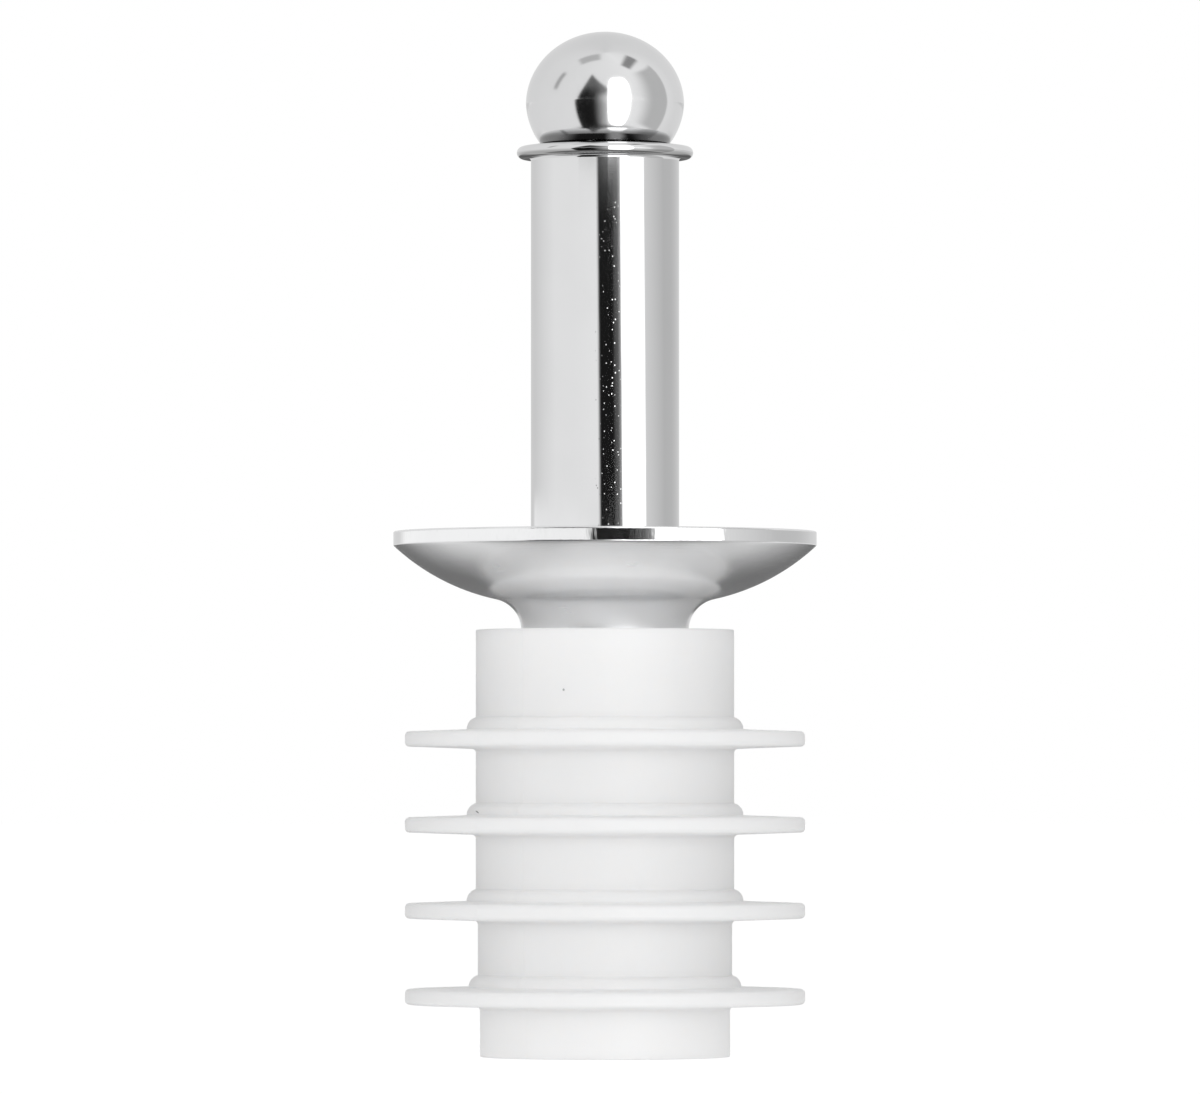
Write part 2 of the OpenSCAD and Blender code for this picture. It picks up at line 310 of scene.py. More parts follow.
# Softbox, with rounded corners
SOFTBOX = 2.5
SOFTBOX_TURN = 21.2
SOFTBOX_RISE = -1.5
SOFTBOX_HALF_W = 17
SOFTBOX_HALF_H = 42.5
SOFTBOX_SQUARENESS = 4
SOFTBOX_EDGE = (1.06, 0.94)

# Black flag, drawn in above its waist, and the dim wall beside it
FLAG = 0.012
FLAG_WAIST = -5
FLAG_LEFT = -44
FLAG_LEFT_DRAW = 0.38
FLAG_RIGHT = -17
FLAG_RIGHT_DRAW = 0.22
FLAG_SOFT = 3.5
FLAG_RISE = (-46, 40, 4)
FLAG_FADE = (30, 8)
DIM_TONE = 0.03
DIM_RIGHT = 4.6
DIM_SOFT = 1.8
DIM_SLOPE = 0.85
DIM_TOP = (29, 23)
DIM_FOOT = (-54, -46)
GRADE_TURN = (-18, 6)
GRADE_LEAST = 0.22
GRADE_MID = 0.68
GRADE_MID_RISE = (20, 4)
GRADE_LOW = 0.3
GRADE_LOW_RISE = (2, -14)
GRADE_HIGH = 0.13
GRADE_HIGH_RISE = (8, 34)

# Belt: the narrow band round the horizon that the tube and the saucer's rim mirror, leaning with its height
BELT_RISE = (0.95, 3.78, 0.08)
BELT_MID_RISE = 2.6
BELT_LEAN = 2.2
BELT_STOPS = (
    (-180, 0.74), (-160, 0.7), (-140, 0.74), (-110, 0.87), (-85, 0.96), (-50, 0.96), (-12, 1.0), (-8, FLAG),
    (12, FLAG), (15, 0.08), (20, 0.13), (24, 0.4), (27.5, SOFTBOX), (61, SOFTBOX), (66, 0.8), (105, 0.58),
    (125, 0.59), (150, 0.68), (180, 0.74),
)
BELT_PALE = 1.03
BELT_PALE_RISE = (1.75, 1.55)
BELT_PALE_TURN = (-145, -22, 8)
BELT_HAZE = 0.09
BELT_HAZE_RISE = (3.3, 3.65)

# Mesh fineness
TURN_STEPS = 224
SMALL_TURN_STEPS = 64
ARC_STEPS = 8
BOWL_STEPS = 28
BALL_STEPS = 44
CORNER_STEPS = 5
EDGE_STEPS = 2
HOLD = 0.015 * MM
LONG_STRAIGHT = 0.3 * MM
TINY = 0.001 * MM
MERGE_GAP = 0.0001 * MM
SOLID_MERGE_GAP = 0.001 * MM
FLAT_ANGLE = math.radians(1)
SHARP_ANGLE = math.radians(35)


class Signal:
    """One output of a shader node. Python's operators on it add Math nodes to its tree."""

    def __init__(self, tree, socket):
        self.tree = tree
        self.socket = socket

    def output(self, name):
        return Signal(self.tree, self.socket.node.outputs[name])

    def maths(self, operation, *values):
        return self.tree.node("ShaderNodeMath", {"operation": operation}, dict(enumerate(values)))

    def __add__(self, other):
        return self.maths("ADD", self, other)

    def __sub__(self, other):
        return self.maths("SUBTRACT", self, other)

    def __rsub__(self, other):
        return self.maths("SUBTRACT", other, self)

    def __mul__(self, other):
        return self.maths("MULTIPLY", self, other)

    def __truediv__(self, other):
        return self.maths("DIVIDE", self, other)

    def __pow__(self, power):
        return self.maths("POWER", self, power)

    def __abs__(self):
        return self.maths("ABSOLUTE", self)

    __radd__ = __add__
    __rmul__ = __mul__

    def ease(self, low, high):
        """0 at low, 1 at high and beyond, with a soft start and end."""
        ends = {"Value": self, "From Min": low, "From Max": high}
        return self.tree.node("ShaderNodeMapRange", {"interpolation_type": "SMOOTHSTEP"}, ends)

    def between(self, low, high, soft):
        """1 from low to high, fading to 0 over a soft margin on both sides."""
        return self.ease(low - soft, low + soft) * self.ease(high + soft, high - soft)


class NodeTree:
    """The shader nodes of a material or a world, under construction."""

    def __init__(self, owner):
        owner.use_nodes = True
        self.tree = owner.node_tree
        self.tree.nodes.clear()

    def node(self, kind, settings=None, sockets=None):
        """Adds a node, applies its settings, fills or links its sockets and gives its first output."""
        made = self.tree.nodes.new(kind)
        for name, value in (settings or {}).items():
            if name == "stops":
                self.set_stops(made.color_ramp.elements, value)
            else:
                setattr(made, name, value)
        for name, value in (sockets or {}).items():
            socket = self.pick(made.inputs, name)
            if isinstance(value, Signal):
                self.tree.links.new(value.socket, socket)
            else:
                socket.default_value = value
        shown = [socket for socket in made.outputs if socket.enabled]
        return Signal(self, shown[0]) if shown else None

    @staticmethod
    def pick(sockets, name):
        if isinstance(name, int):
            return sockets[name]
        return next(socket for socket in sockets if socket.enabled and socket.name == name)

    @staticmethod
    def set_stops(elements, stops):
        while len(elements) < len(stops):
            elements.new(1)
        for element, (place, level) in zip(elements, stops):
            element.position = place
            element.color = grey(level)

    def place(self):
        return self.node("ShaderNodeTexCoord").output("Object")

    def split(self, vector):
        parts = self.node("ShaderNodeSeparateXYZ", None, {"Vector": vector})
        return parts, parts.output("Y"), parts.output("Z")

    def stretched(self, vector, scale):
        return self.node("ShaderNodeMapping", None, {"Vector": vector, "Scale": scale})

    def noise(self, vector, size, detail=2.0):
        """Soft noise from 0 to 1, with features of about the given size in metres."""
        sockets = {"Vector": vector, "Scale": 1 / size, "Detail": detail}
        return self.node("ShaderNodeTexNoise", None, sockets)

    def gap(self, vector, point):
        """Distance of each place from one point."""
        return self.node("ShaderNodeVectorMath", {"operation": "DISTANCE"}, {0: vector, 1: point})

    def blend(self, share, first, second):
        sockets = {"Factor": share, "A": first, "B": second}
        return self.node("ShaderNodeMix", {"data_type": "RGBA"}, sockets)

    def bump(self, height):
        """A normal from a relief's height in metres."""
        return self.node("ShaderNodeBump", None, {"Height": height, "Distance": 1.0})

    def surface(self, sockets):
        shader = self.node("ShaderNodeBsdfPrincipled", None, sockets)
        self.node("ShaderNodeOutputMaterial", None, {"Surface": shader})


def grey(level):
    return (level, level, level, 1)


def from_axis(x, y):
    """Distance of each place from the Z axis."""
    return (x * x + y * y) ** 0.5


def way_turn(x, y):
    """A direction's angle round the object, to the right from the camera's side, in degrees."""
    return x.maths("ARCTAN2", x, 0 - y) * DEGREES


def way_rise(z):
    """A direction's angle up from the horizon, in degrees."""
    return z.maths("ARCSINE", z) * DEGREES


# Finishes


def plated_chrome():
    """Chrome on the drawn tube: draw lines, a pitted strip in front, painted shade on the dull seat and under
    the lip, a painted highlight.
    """
    material = bpy.data.materials.new("plated_chrome")
    tree = NodeTree(material)
    place = tree.place()
    x, y, z = tree.split(place)
    radius = from_axis(x, y)
    front = y.ease(*TUBE_FRONT)
    draw_lines = tree.noise(tree.stretched(place, DRAW_STRETCH), DRAW_LINE_W, detail=3)
    cells = tree.node("ShaderNodeTexVoronoi", None, {"Vector": place, "Scale": 1 / PIMPLE_PITCH})
    strip = x.between(PITTED_FROM, PITTED_TO, PITTED_FADE) * front * z.ease(PITTED_TOP, PITTED_FULL)
    patches = tree.noise(place, PIMPLE_PATCH).ease(*PIMPLE_PATCH_SPAN)
    pimples = cells.ease(*PIMPLE_EDGE) * patches * strip
    haze = tree.noise(place, PLATE_HAZE_SIZE, detail=4).ease(*HAZE_SPAN)
    # Painted shade: the lip's top is painted dark, a dark seat by the bore and a dull, darker ring outside it
    top = z.ease(MOUTH_Z - 2 * SEAT_DROP, MOUTH_Z - SEAT_DROP)
    seat_shade = top * radius.ease(BORE_R + SEAT_W, BORE_R + SEAT_W - SEAT_FADE)
    dull_and_shade = top * radius.ease(BORE_R + DULL_W, BORE_R + SEAT_W)
    # Painted highlight: the dark seat is painted lighter in front and towards the sides
    painted_glint = x.between(GLINT_FROM, GLINT_TO, GLINT_FADE) * front
    painted_glint = painted_glint.maths("MAXIMUM", painted_glint, abs(x).ease(*GLINT_ENDS) * GLINT_END_SHARE)
    # Painted shade on the lip's underside, below its bead
    under = z.ease(*UNDER_Z) * radius.ease(*UNDER_R)
    plate = tree.blend(haze, CHROME_TONE, CHROME_HAZE_TONE)
    plate = tree.blend(dull_and_shade, plate, grey(SHADE_AND_GLINT_TONE))
    plate = tree.blend(under, plate, grey(UNDER_SHADE_TONE))
    tree.surface({
        "Base Color": tree.blend(seat_shade, plate, tree.blend(painted_glint, grey(SEAT_SHADE_TONE), grey(SHADE_AND_GLINT_TONE))),
        "Metallic": 1.0,
        "Roughness": PLATE_ROUGH + haze * PLATE_HAZE_ROUGH + dull_and_shade * DULL_ROUGH,
        "Normal": tree.bump(draw_lines * DRAW_LINE_H + pimples * PIMPLE_H),
    })
    return material


def polished_chrome():
    """Chrome on the turned and polished ball, with faint polishing rings."""
    material = bpy.data.materials.new("polished_chrome")
    tree = NodeTree(material)
    place = tree.place()
    rings = tree.noise(tree.stretched(place, POLISH_STRETCH), POLISH_LINE_W)
    haze = tree.noise(place, BALL_HAZE_SIZE, detail=3).ease(*HAZE_SPAN)
    tree.surface({
        "Base Color": tree.blend(haze, CHROME_TONE, CHROME_HAZE_TONE),
        "Metallic": 1.0,
        "Roughness": BALL_ROUGH + haze * BALL_HAZE_ROUGH,
        "Normal": tree.bump(rings * POLISH_LINE_H),
    })
    return material


def spun_chrome():
    """Chrome over spun sheet: the spinning tool's rings soften what it mirrors, up to the polished rim."""
    material = bpy.data.materials.new("spun_chrome")
    tree = NodeTree(material)
    place = tree.place()
    x, y, z = tree.split(place)
    radius = from_axis(x, y)
    upright = z.between(RIM_FOOT_Z + RIM_FADE, RIM_Z - RIM_EDGE_R, RIM_FADE)
    rim = upright * radius.ease(SAUCER_R - RIM_H, SAUCER_R - RIM_FADE)
    flutes = tree.noise(tree.stretched(place, FLUTE_STRETCH), FLUTE_W)
    ring = tree.node("ShaderNodeCombineXYZ", None, {"X": radius, "Y": z})
    rings = tree.noise(ring, SPUN_RING_W, detail=3)
    swell = tree.noise(place, SPUN_SWELL_SIZE)
    grain = tree.noise(place, SPUN_GRAIN_SIZE)
    marks = (rings - NOISE_MEAN) * SPUN_RING_H + (grain - NOISE_MEAN) * SPUN_GRAIN_H
    relief = swell * SPUN_SWELL_H + marks * (1 - rim) + (flutes - NOISE_MEAN) * FLUTE_H * rim
    haze = tree.noise(place, SAUCER_HAZE_SIZE, detail=4).ease(*SAUCER_HAZE_SPAN)
    satin = SATIN_ROUGH + haze * SATIN_HAZE_ROUGH + rings * SATIN_RING_ROUGH
    tree.surface({
        "Base Color": tree.blend(haze, SAUCER_TONE, SAUCER_HAZE_TONE),
        "Metallic": 1.0,
        "Roughness": satin * (1 - rim) + rim * RIM_ROUGH,
        "Normal": tree.bump(relief),
    })
    return material


def soft_polyethylene():
    """Waxy white stopper plastic: mould grain, flow marks, the mould's parting line, a bubble and a nick with
    painted shade.
    """
    material = bpy.data.materials.new("soft_polyethylene")
    tree = NodeTree(material)
    place = tree.place()
    x, y = tree.split(place)[:2]
    grain = tree.noise(place, MOULD_GRAIN_SIZE, detail=3)
    swell = tree.noise(place, MOULD_SWELL_SIZE)
    flow = tree.noise(tree.stretched(place, FLOW_STRETCH), FLOW_SIZE, detail=3)
    across = x * math.cos(PARTING_TURN) + y * math.sin(PARTING_TURN)
    parting = abs(across).ease(PARTING_HALF_W, 0)
    bubble = tree.gap(place, BUBBLE_PLACE).ease(BUBBLE_R, BUBBLE_CORE_R)
    nick_frame = {"Location": NICK_PLACE, "Rotation": (0, NICK_TILT, 0), "Scale": NICK_HALF_SIZE}
    nick_place = tree.node("ShaderNodeMapping", {"vector_type": "TEXTURE"}, {"Vector": place, **nick_frame})
    nick = tree.gap(nick_place, (0, 0, 0)).ease(*NICK_EDGE)
    tone = tree.blend(flow.ease(*PATCH_SPAN), PLASTIC_TONE, PLASTIC_PALE_TONE)
    # The bubble and the nick are painted darker, as painted shade in their small recesses
    tone = tree.blend(bubble, tone, grey(BUBBLE_SHADE_TONE))
    tone = tree.blend(nick, tone, grey(NICK_SHADE_TONE))
    relief = grain * MOULD_GRAIN_H + swell * MOULD_SWELL_H + parting * PARTING_H
    relief = relief - (bubble + nick) * FLAW_DEPTH
    tree.surface({
        "Base Color": tone,
        "Roughness": PLASTIC_ROUGH + grain * PLASTIC_GRAIN_ROUGH,
        "Subsurface Weight": 1.0,
        "Subsurface Radius": PLASTIC_SPREAD,
        "Subsurface Scale": PLASTIC_DEPTH,
        "Specular IOR Level": PLASTIC_GLOSS,
        "Normal": tree.bump(relief),
    })
    return material


def drawn_steel(name, tone, along):
    """Steel with the fine lines that drawing, rolling or turning leaves along it."""
    material = bpy.data.materials.new(name)
    tree = NodeTree(material)
    place = tree.place()
    lines = tree.noise(tree.stretched(place, along), STEEL_LINE_W, detail=3)
    patches = tree.noise(place, STEEL_PATCH_SIZE, detail=3)
    dark = tuple(DARK_SHARE * part for part in tone[:3]) + (1,)
    tree.surface({
        "Base Color": tree.blend(patches.ease(*PATCH_SPAN), tone, dark),
        "Metallic": 1.0,
        "Roughness": STEEL_ROUGH + lines * STEEL_LINE_ROUGH,
        "Normal": tree.bump(lines * STEEL_LINE_H),
    })
    return material


# Mesh making


class Outline:
    """Half of a turned piece's section, in the XZ plane, drawn by carrying its tip along."""

    def __init__(self, r, z):
        self.mesh = bmesh.new()
        self.start = self.mesh.verts.new((r, 0, z))
        self.tip = self.start
        self.corners = []

    def line(self, r, z):
        self.tip = bmesh.ops.extrude_vert_indiv(self.mesh, verts=[self.tip])["verts"][0]
        self.tip.co = (r, 0, z)

    def arc(self, mid, turn, steps=ARC_STEPS):
        """Carries the tip round a centre by an angle in degrees, anticlockwise with Z up."""
        made = bmesh.ops.spin(
            self.mesh, geom=[self.tip], cent=(mid[0], 0, mid[1]), axis=(0, -1, 0),
            angle=math.radians(turn), steps=steps,
        )
        self.tip = made["geom_last"][0]

    def corner(self, reach):
        """Marks the tip as a corner to be rounded, from that far along each side."""
        self.corners.append((self.tip, reach))

    def close(self):
        self.mesh.edges.new((self.tip, self.start))

    def hold(self):
        """Adds a vertex near both ends of each long straight, so that its shading stays flat."""
        for edge in [edge for edge in self.mesh.edges if edge.calc_length() > LONG_STRAIGHT]:
            first, second = edge.verts
            made = bmesh.utils.edge_split(edge, first, HOLD / edge.calc_length())[0]
            rest = max((edge, made), key=lambda part: part.calc_length())
            bmesh.utils.edge_split(rest, second, HOLD / rest.calc_length())

    def turned(self, steps):
        """Rounds the corners and spins the section round the Z axis into a closed mesh."""
        for vert, reach in self.corners:
            bmesh.ops.bevel(
                self.mesh, geom=[vert], offset=reach, offset_type="OFFSET", segments=CORNER_STEPS,
                profile=0.5, affect="VERTICES", material=-1,
            )
        self.hold()
        bmesh.ops.spin(
            self.mesh, geom=self.mesh.verts[:] + self.mesh.edges[:], cent=(0, 0, 0), axis=(0, 0, 1),
            angle=2 * math.pi, steps=steps, use_merge=True,
        )
        bmesh.ops.remove_doubles(self.mesh, verts=self.mesh.verts[:], dist=MERGE_GAP)
        bmesh.ops.recalc_face_normals(self.mesh, faces=self.mesh.faces[:])
        return self.mesh


def swept(mesh, edges, way):
    """Extrudes loops of edges along a vector and gives the loops at the far end."""
    made = bmesh.ops.extrude_edge_only(mesh, edges=edges)["geom"]
    far = [part for part in made if isinstance(part, bmesh.types.BMVert)]
    bmesh.ops.translate(mesh, vec=way, verts=far)
    sides = [part for part in made if isinstance(part, bmesh.types.BMEdge)]
    return [edge for edge in sides if edge.verts[0] in far and edge.verts[1] in far]


def eased(node, width):
    """A merged copy of a node's mesh, with its sharp edges rounded."""
    mesh = bmesh.new()
    mesh.from_mesh(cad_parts[node].data)
    bmesh.ops.remove_doubles(mesh, verts=mesh.verts[:], dist=SOLID_MERGE_GAP)
    bmesh.ops.dissolve_limit(mesh, angle_limit=FLAT_ANGLE, verts=mesh.verts[:], edges=mesh.edges[:])
    sharp = [edge for edge in mesh.edges if edge.is_manifold and edge.calc_face_angle() > SHARP_ANGLE]
    bmesh.ops.bevel(
        mesh, geom=sharp, offset=width, offset_type="OFFSET", segments=EDGE_STEPS, profile=0.5,
        affect="EDGES", material=-1, clamp_overlap=True,
    )
    return mesh


def mesh_object(name, mesh):
    data = bpy.data.meshes.new(name)
    mesh.to_mesh(data)
    mesh.free()
    made = bpy.data.objects.new(name, data)
    bpy.context.scene.collection.objects.link(made)
    return made


def bored(piece, tool):
    """Cuts a tool object out of a piece and deletes the tool."""
    cut = piece.modifiers.new("bore", "BOOLEAN")
    cut.object = tool
    cut.solver = "EXACT"
    depsgraph = bpy.context.evaluated_depsgraph_get()
    data = bpy.data.meshes.new_from_object(piece.evaluated_get(depsgraph))
    piece.modifiers.clear()
    piece.data = data
    bpy.data.objects.remove(tool)


def install(piece, node, body, finish):
    """Shades a piece, gives it its finish and puts it on its body in place of a node."""
    piece.data.materials.clear()
    piece.data.materials.append(finish)
    piece.data.shade_smooth()
    piece.data.set_sharp_from_angle(angle=SHARP_ANGLE)
    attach(piece, body)
    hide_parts(node)


def turn_of(mid, point):
    """Angle of a point seen from a centre, in degrees."""
    return math.degrees(math.atan2(point[1] - mid[1], point[0] - mid[0]))


def upper_meeting(a, ra, b, rb):
    """The upper of the two points that lie ra from a and rb from b."""
    a = Vector(a)
    way = Vector(b) - a
    gap = way.length
    way.normalize()
    along = (ra * ra - rb * rb + gap * gap) / (2 * gap)
    aside = math.sqrt(ra * ra - along * along)
    return a + along * way + aside * Vector((way.y, -way.x))


# Pieces


def body_r(section):
    """Radius of the stopper's body, in sections counted up from its foot."""
    return FOOT_R + (BODY_R - FOOT_R) * min(section / TAPER_FINS, 1)


def draw_fin(outline, index):
    """One sealing fin from its lower root to the top of the bead over it."""
    z = LOWEST_FIN + index * FIN_PITCH
    upper_r = body_r(index + 1)
    bead_r = (BEAD_OUT ** 2 + BEAD_H ** 2) / (2 * BEAD_OUT)
    bead_foot = upper_r + BEAD_OUT
    slope = (FIN_ROOT_T - FIN_TIP_T) / 2 / (FIN_R - upper_r)
    bead_z = z + FIN_TIP_T / 2 + slope * (FIN_R - bead_foot)
    outline.line(body_r(index), z - FIN_ROOT_T / 2)
    outline.corner(FIN_ROOT_R)
    outline.line(FIN_R, z - FIN_TIP_T / 2)
    outline.corner(FIN_EDGE_R)
    outline.line(FIN_R, z + FIN_TIP_T / 2)
    outline.corner(FIN_EDGE_R)
    outline.line(bead_foot, bead_z)
    outline.arc((bead_foot - bead_r, bead_z), math.degrees(math.atan2(BEAD_H, bead_r - BEAD_OUT)))


def draw_grip(outline, out, cut_r, way):
    """The rolled grip bead's curve, moved out and cut off at a radius, drawn up (1) or down (-1)."""
    radius = GRIP_R + out
    half = math.acos((cut_r - GRIP_MID_R) / radius)
    outline.line(cut_r, GRIP_Z - way * radius * math.sin(half))
    outline.arc((GRIP_MID_R, GRIP_Z), way * math.degrees(2 * half))


def make_stopper():
    outline = Outline(INLET_R, 0)
    outline.line(FOOT_R, 0)
    outline.corner(STOPPER_EDGE_R)
    for index in range(FIN_COUNT):
        draw_fin(outline, index)
    outline.line(BODY_R, STOPPER_TOP)
    outline.corner(STOPPER_EDGE_R)
    outline.line(SEAT_R, STOPPER_TOP)
    draw_grip(outline, FIT_GAP, SEAT_R, -1)
    outline.line(SEAT_R, TUBE_FOOT)
    outline.line(INLET_R, TUBE_FOOT)
    outline.close()
    piece = mesh_object("stopper", outline.turned(TURN_STEPS))
    install(piece, "bottle_stopper", "pourer", soft_polyethylene())


def make_tube():
    """The tube with its rolled lip, its grip bead inside the stopper and the drilled air port."""
    lip_mid = (LIP_R - LIP_EDGE_R, LIP_MID_Z)
    reach = lip_mid[0] - BORE_R
    top_r = (reach ** 2 + LIP_DROP ** 2 - LIP_EDGE_R ** 2) / (2 * (LIP_DROP - LIP_EDGE_R))
    top_mid = (BORE_R, MOUTH_Z - top_r)
    fillet_x = TUBE_R + LIP_FILLET_R
    fillet_rise = math.sqrt((LIP_FILLET_R + LIP_EDGE_R) ** 2 - (lip_mid[0] - fillet_x) ** 2)
    fillet_mid = (fillet_x, lip_mid[1] - fillet_rise)
    fillet_turn = turn_of(fillet_mid, lip_mid)
    lip_turn = turn_of(top_mid, lip_mid)
    outline = Outline(BORE_R, TUBE_FOOT)
    outline.line(TUBE_R, TUBE_FOOT)
    draw_grip(outline, 0, TUBE_R, 1)
    outline.line(TUBE_R, AIR_Z - AIR_PORT_FRAME)
    outline.line(TUBE_R, AIR_Z + AIR_PORT_FRAME)
    outline.line(TUBE_R, fillet_mid[1])
    outline.arc(fillet_mid, fillet_turn - 180)
    outline.arc(lip_mid, lip_turn - (fillet_turn - 180), 2 * ARC_STEPS)
    outline.arc(top_mid, 90 - lip_turn)
    outline.line(BORE_R, AIR_Z + AIR_PORT_FRAME)
    outline.line(BORE_R, AIR_Z - AIR_PORT_FRAME)
    draw_grip(outline, -TUBE_WALL, BORE_R, -1)
    outline.close()
    piece = mesh_object("tube", outline.turned(TURN_STEPS))
    drill = bmesh.new()
    aim = Matrix.Translation((0, TUBE_R, AIR_Z)) @ Matrix.Rotation(math.pi / 2, 4, "X")
    bmesh.ops.create_cone(
        drill, cap_ends=True, segments=SMALL_TURN_STEPS, radius1=AIR_PORT_R, radius2=AIR_PORT_R,
        depth=BORE_R, matrix=aim,
    )
    bored(piece, mesh_object("drill", drill))
    install(piece, "pour_tube", "pourer", plated_chrome())


def make_saucer():
    """The spun dish: a hollow neck curve that runs into the bowl's arc, and an upright rim."""
    rim_foot = (SAUCER_R, RIM_FOOT_Z)
    neck_mid = Vector((SEAT_R + SAUCER_WALL + NECK_CURVE_R, STOPPER_TOP - NECK_FLARE))
    bowl_mid = upper_meeting(rim_foot, BOWL_R, neck_mid, BOWL_R + NECK_CURVE_R)
    neck_turn = turn_of(neck_mid, bowl_mid)
    foot_turn = 180 - math.degrees(math.asin(NECK_FLARE / NECK_CURVE_R))
    inner_neck_r = NECK_CURVE_R + SAUCER_WALL
    inner_foot_turn = 180 - math.degrees(math.asin(NECK_FLARE / inner_neck_r))
    inner_r = SAUCER_R - SAUCER_WALL
    inner_bowl_r = BOWL_R - SAUCER_WALL
    inner_turn = -math.degrees(math.acos((inner_r - bowl_mid.x) / inner_bowl_r))
    foot_r = neck_mid.x + NECK_CURVE_R * math.cos(math.radians(foot_turn))
    outline = Outline(foot_r, STOPPER_TOP)
    outline.arc(neck_mid, neck_turn - foot_turn, BOWL_STEPS)
    outline.arc(bowl_mid, turn_of(bowl_mid, rim_foot) - (neck_turn - 180), BOWL_STEPS)
    outline.corner(RIM_FOOT_R)
    outline.line(SAUCER_R, RIM_Z)
    outline.corner(RIM_EDGE_R)
    outline.line(inner_r, RIM_Z)
    outline.corner(RIM_EDGE_R)
    outline.line(inner_r, bowl_mid.y + inner_bowl_r * math.sin(math.radians(inner_turn)))
    outline.arc(bowl_mid, (neck_turn - 180) - inner_turn, BOWL_STEPS)
    outline.arc(neck_mid, inner_foot_turn - neck_turn, BOWL_STEPS)
    outline.close()
    piece = mesh_object("saucer", outline.turned(TURN_STEPS))
    install(piece, "drip_saucer", "pourer", spun_chrome())


def make_ball():
    """The valve ball, a little flattened, turned in two halves, with the hole that takes the stem."""
    hole = Vector((STEM_HOLE_R, -math.sqrt(BALL_R ** 2 - STEM_HOLE_R ** 2)))
    lean = math.tan(BALL_SEAM)
    lower_reach = BALL_R * (BALL_R - hole.x) / (BALL_R - hole.x + lean * hole.y)
    lower_mid = Vector((BALL_R - lower_reach, lower_reach * lean))
    flatness = BALL_HALF_H / BALL_R
    hole_top = (STEM_TOP + GROOVE_GAP - BALL_MID_Z) / flatness
    outline = Outline(0, hole_top)
    outline.line(STEM_HOLE_R, hole_top)
    outline.line(*hole)
    outline.arc(lower_mid, turn_of(lower_mid, (BALL_R, 0)) - turn_of(lower_mid, hole), BALL_STEPS)
    outline.arc((0, 0), 90, BALL_STEPS)
    mesh = outline.turned(TURN_STEPS)
    bmesh.ops.scale(mesh, vec=(1, 1, flatness), verts=mesh.verts[:])
    bmesh.ops.translate(mesh, vec=(0, 0, BALL_MID_Z), verts=mesh.verts[:])
    piece = mesh_object("ball", mesh)
    install(piece, "valve_ball", "valve", polished_chrome())
    for edge in piece.data.edges:
        heights = [piece.data.vertices[index].co.z for index in edge.vertices]
        edge.use_edge_sharp = all(abs(z - BALL_MID_Z) < TINY for z in heights)


def make_stem():
    outline = Outline(0, STEM_FOOT)
    outline.line(STEM_R - STEM_BEVEL, STEM_FOOT)
    outline.line(STEM_R, STEM_FOOT + STEM_BEVEL)
    outline.line(STEM_R, CLIP_FOOT - GROOVE_GAP)
    outline.line(GROOVE_R, CLIP_FOOT - GROOVE_GAP)
    outline.line(GROOVE_R, CLIP_TOP + GROOVE_GAP)
    outline.line(STEM_R, CLIP_TOP + GROOVE_GAP)
    outline.line(STEM_R, STEM_TOP - STEM_BEVEL)
    outline.line(STEM_R - STEM_BEVEL, STEM_TOP)
    outline.line(0, STEM_TOP)
    piece = mesh_object("stem", outline.turned(SMALL_TURN_STEPS))
    finish = drawn_steel("drawn_stem_steel", STEEL_TONE, ALONG_Z)
    install(piece, "valve_stem", "valve", finish)


def make_washer():
    outline = Outline(WASHER_BORE_R, WASHER_FOOT)
    outline.corner(SMALL_EDGE)
    outline.line(WASHER_R, WASHER_FOOT)
    outline.corner(SMALL_EDGE)
    outline.line(WASHER_R, WASHER_TOP)
    outline.corner(SMALL_EDGE)
    outline.line(WASHER_BORE_R, WASHER_TOP)
    outline.corner(SMALL_EDGE)
    outline.close()
    piece = mesh_object("washer", outline.turned(SMALL_TURN_STEPS))
    finish = drawn_steel("blanked_steel", WASHER_TONE, ALONG_Y)
    install(piece, "stop_washer", "valve_stop", finish)


def make_guide():
    piece = mesh_object("guide", eased("stem_guide", SMALL_EDGE))
    finish = drawn_steel("turned_guide_steel", GUIDE_TONE, UNSTRETCHED)
    install(piece, "stem_guide", "pourer", finish)


def make_clip():
    piece = mesh_object("clip", eased("stem_clip", SMALL_EDGE))
    finish = drawn_steel("spring_steel", CLIP_TONE, ALONG_X)
    install(piece, "stem_clip", "valve", finish)


def make_breather():
    """The thin air tube: a leg along the bore, a quarter bend and a stub that ends flush with the port."""
    bend_z = AIR_Z - AIR_BEND_R
    mesh = bmesh.new()
    for radius in (AIR_R, AIR_R - AIR_WALL):
        bmesh.ops.create_circle(mesh, segments=SMALL_TURN_STEPS, radius=radius)
    bmesh.ops.translate(mesh, vec=(0, AIR_LEG_Y, AIR_FOOT), verts=mesh.verts[:])
    foot = mesh.edges[:]
    loops = swept(mesh, foot, (0, 0, bend_z - AIR_FOOT))
    made = bmesh.ops.spin(
        mesh, geom=loops, cent=(0, AIR_LEG_Y + AIR_BEND_R, bend_z), axis=(-1, 0, 0),
        angle=math.pi / 2, steps=2 * ARC_STEPS,
    )
    loops = [part for part in made["geom_last"] if isinstance(part, bmesh.types.BMEdge)]
    loops = swept(mesh, loops, (0, TUBE_R - AIR_LEG_Y - AIR_BEND_R, 0))
    for vert in {vert for edge in loops for vert in edge.verts}:
        vert.co.y = math.sqrt(TUBE_R ** 2 - vert.co.x ** 2)
    bmesh.ops.bridge_loops(mesh, edges=foot)
    bmesh.ops.bridge_loops(mesh, edges=loops)
    bmesh.ops.recalc_face_normals(mesh, faces=mesh.faces[:])
    piece = mesh_object("breather", mesh)
    finish = drawn_steel("drawn_tube_steel", STEEL_TONE, ALONG_Z)
    install(piece, "air_tube", "pourer", finish)


# Studio


